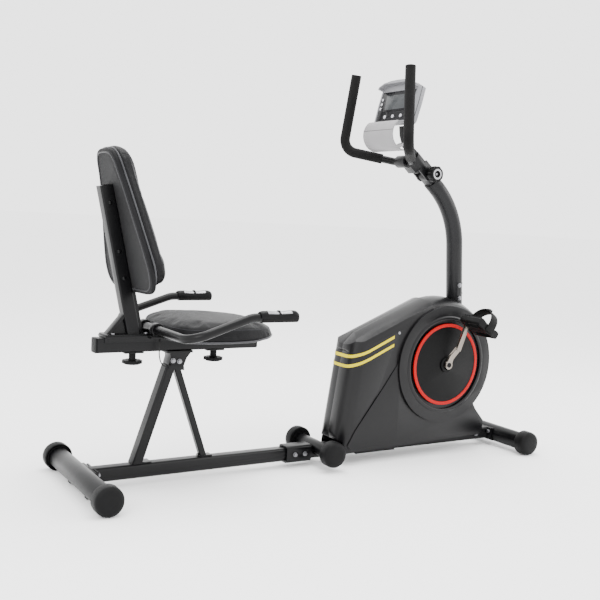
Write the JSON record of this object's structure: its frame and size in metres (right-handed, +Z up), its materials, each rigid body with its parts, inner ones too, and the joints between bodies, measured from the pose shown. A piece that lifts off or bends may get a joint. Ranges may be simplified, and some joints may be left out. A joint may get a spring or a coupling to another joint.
{
  "type": "recumbent exercise bike",
  "caption": "Recumbent exercise bike with padded seat and backrest on a slotted rail, side grips, enclosed flywheel drive, strapped pedals, and a tilting U handlebar with console.",
  "frame": {"origin": "centre of the footprint on the floor, midway between the two stabiliser tubes", "axes": "+X forward from the seat toward the console and front stabiliser, +Y to the rider's left, +Z up"},
  "size_m": [1.6289, 0.5886, 1.2774],
  "materials": {
    "black_steel": "satin black powder coat",
    "mast_black": "semi-gloss black paint",
    "cap_black": "fine textured black plastic",
    "pad_rubber": "matt rubber",
    "zinc": "zinc plated steel",
    "shroud_black": "smooth semi-gloss black plastic",
    "stripe_yellow": "printed yellow stripe",
    "ring_red": "red painted plastic",
    "disc_dark": "dark satin plastic",
    "crank_silver": "silver forged steel",
    "iron": "machined cast iron",
    "belt_rubber": "ribbed rubber belt",
    "inner_plastic": "moulded plastic",
    "bearing_steel": "ground steel",
    "seat_fabric": "black vinyl with fine grain",
    "back_skin": "dark grey woven back panel",
    "grip_foam": "closed-cell foam",
    "sensor_black": "black sensor housing",
    "sensor_plate": "stainless contact plate",
    "console_silver": "silver grey painted plastic",
    "console_face": "dark bezel and display",
    "button_silver": "silver button",
    "tray_silver": "silver grey satin plastic",
    "lead_black": "soft pvc lead"
  },
  "bodies": {
    "frame": {"rear_stabiliser": "black_steel", "rear_feet": "cap_black", "lower_rail": "black_steel", "base_frame": "black_steel", "mid_stabiliser": "black_steel", "front_stabiliser": "black_steel", "front_feet": "cap_black", "bolts": "zinc", "seat_post": "black_steel", "seat_rail": "black_steel", "rail_plugs": "cap_black", "mast": "mast_black", "bb_bearings": "bearing_steel", "shroud_right": "shroud_black", "shroud_left": "shroud_black", "shroud_screws": "zinc", "stripes": "stripe_yellow", "belt": "belt_rubber", "tension_motor": "inner_plastic", "pulse_cable": "lead_black"},
    "crank": {"crank_axle": "bearing_steel", "crank_arms": "crank_silver", "crank_discs": "disc_dark", "crank_rings": "ring_red", "crank_pulley": "inner_plastic", "pedal_spindles": "bearing_steel"},
    "pedal_r": {"pedal_right": "cap_black", "strap_right": "pad_rubber"},
    "pedal_l": {"pedal_left": "cap_black", "strap_left": "pad_rubber"},
    "flywheel": {"flywheel": "iron"},
    "idler": {"idler": "bearing_steel"},
    "brake": {"magnet_bracket": "zinc"},
    "wheel_r": {"wheel_right": "cap_black"},
    "wheel_l": {"wheel_left": "cap_black"},
    "seat": {"seat_carriage": "black_steel", "clamp_plates": "black_steel", "back_upright": "black_steel", "back_board": "back_skin", "back_cushion": "seat_fabric", "seat_pan": "inner_plastic", "seat_cushion": "seat_fabric", "side_handle": "black_steel", "handle_grips": "grip_foam", "sensor_housings": "sensor_black", "sensor_plates": "sensor_plate", "seat_bolts": "zinc"},
    "rear_knob": {"rear_knob": "cap_black"},
    "front_knob": {"front_knob": "cap_black"},
    "head": {"tilt_head": "mast_black", "handlebar": "black_steel", "bar_grips": "grip_foam", "console_body": "console_silver", "console_tray": "tray_silver", "console_screen": "console_face"},
    "tilt_knob": {"tilt_knob": "cap_black"},
    "button_a": {"button_a": "button_silver"},
    "button_b": {"button_b": "button_silver"},
    "button_c": {"button_c": "button_silver"}
  },
  "joints": [
    {"name": "crank_spin", "type": "hinge", "parent": "frame", "child": "crank", "pos_m": [0.465, 0, 0.318], "axis": [0, 1, 0], "continuous": true},
    {"name": "pedal_r_spin", "type": "hinge", "parent": "crank", "child": "pedal_r", "pos_m": [0.51947, 0, 0.4599], "axis": [0, 1, 0], "continuous": true},
    {"name": "pedal_l_spin", "type": "hinge", "parent": "crank", "child": "pedal_l", "pos_m": [0.41053, 0, 0.1761], "axis": [0, 1, 0], "continuous": true},
    {"name": "flywheel_spin", "type": "hinge", "parent": "frame", "child": "flywheel", "pos_m": [0.2135, 0, 0.2], "axis": [0, 1, 0], "continuous": true},
    {"name": "idler_spin", "type": "hinge", "parent": "frame", "child": "idler", "pos_m": [0.36224, 0, 0.17868], "axis": [0, 1, 0], "continuous": true},
    {"name": "brake_swing", "type": "hinge", "parent": "frame", "child": "brake", "pos_m": [0.3115, 0, 0.332], "axis": [0, 1, 0], "range_deg": [0, 5]},
    {"name": "wheel_r_spin", "type": "hinge", "parent": "frame", "child": "wheel_r", "pos_m": [0.001, 0, 0.056], "axis": [0, 1, 0], "continuous": true},
    {"name": "wheel_l_spin", "type": "hinge", "parent": "frame", "child": "wheel_l", "pos_m": [0.001, 0, 0.056], "axis": [0, 1, 0], "continuous": true},
    {"name": "seat_slide", "type": "slide", "parent": "frame", "child": "seat", "axis": [1, 0, 0], "range_m": [-0.03, 0.06], "deforming": ["pulse_cable"]},
    {"name": "rear_knob_turn", "type": "hinge", "parent": "seat", "child": "rear_knob", "pos_m": [-0.6345, 0, 0.36], "axis": [0, 0, 1], "range_deg": [-180, 180]},
    {"name": "front_knob_turn", "type": "hinge", "parent": "seat", "child": "front_knob", "pos_m": [-0.38, 0, 0.36], "axis": [0, 0, 1], "range_deg": [-180, 180]},
    {"name": "head_tilt", "type": "hinge", "parent": "frame", "child": "head", "pos_m": [0.387, 0, 0.958], "axis": [0, 1, 0], "range_deg": [-12, 15]},
    {"name": "tilt_knob_turn", "type": "hinge", "parent": "head", "child": "tilt_knob", "pos_m": [0.387, 0, 0.958], "axis": [0, 1, 0], "range_deg": [-90, 90]},
    {"name": "button_a_press", "type": "slide", "parent": "head", "child": "button_a", "axis": [0.9659, 0, -0.2588], "range_m": [0, 0.001], "stiffness_N_per_m": 400},
    {"name": "button_b_press", "type": "slide", "parent": "head", "child": "button_b", "axis": [0.9659, 0, -0.2588], "range_m": [0, 0.001], "stiffness_N_per_m": 400},
    {"name": "button_c_press", "type": "slide", "parent": "head", "child": "button_c", "axis": [0.9659, 0, -0.2588], "range_m": [0, 0.001], "stiffness_N_per_m": 400}
  ],
  "couplings": [
    {"joint": "flywheel_spin", "follows": "crank_spin", "ratio": 6.1176},
    {"joint": "idler_spin", "follows": "crank_spin", "ratio": -5.7778}
  ]
}
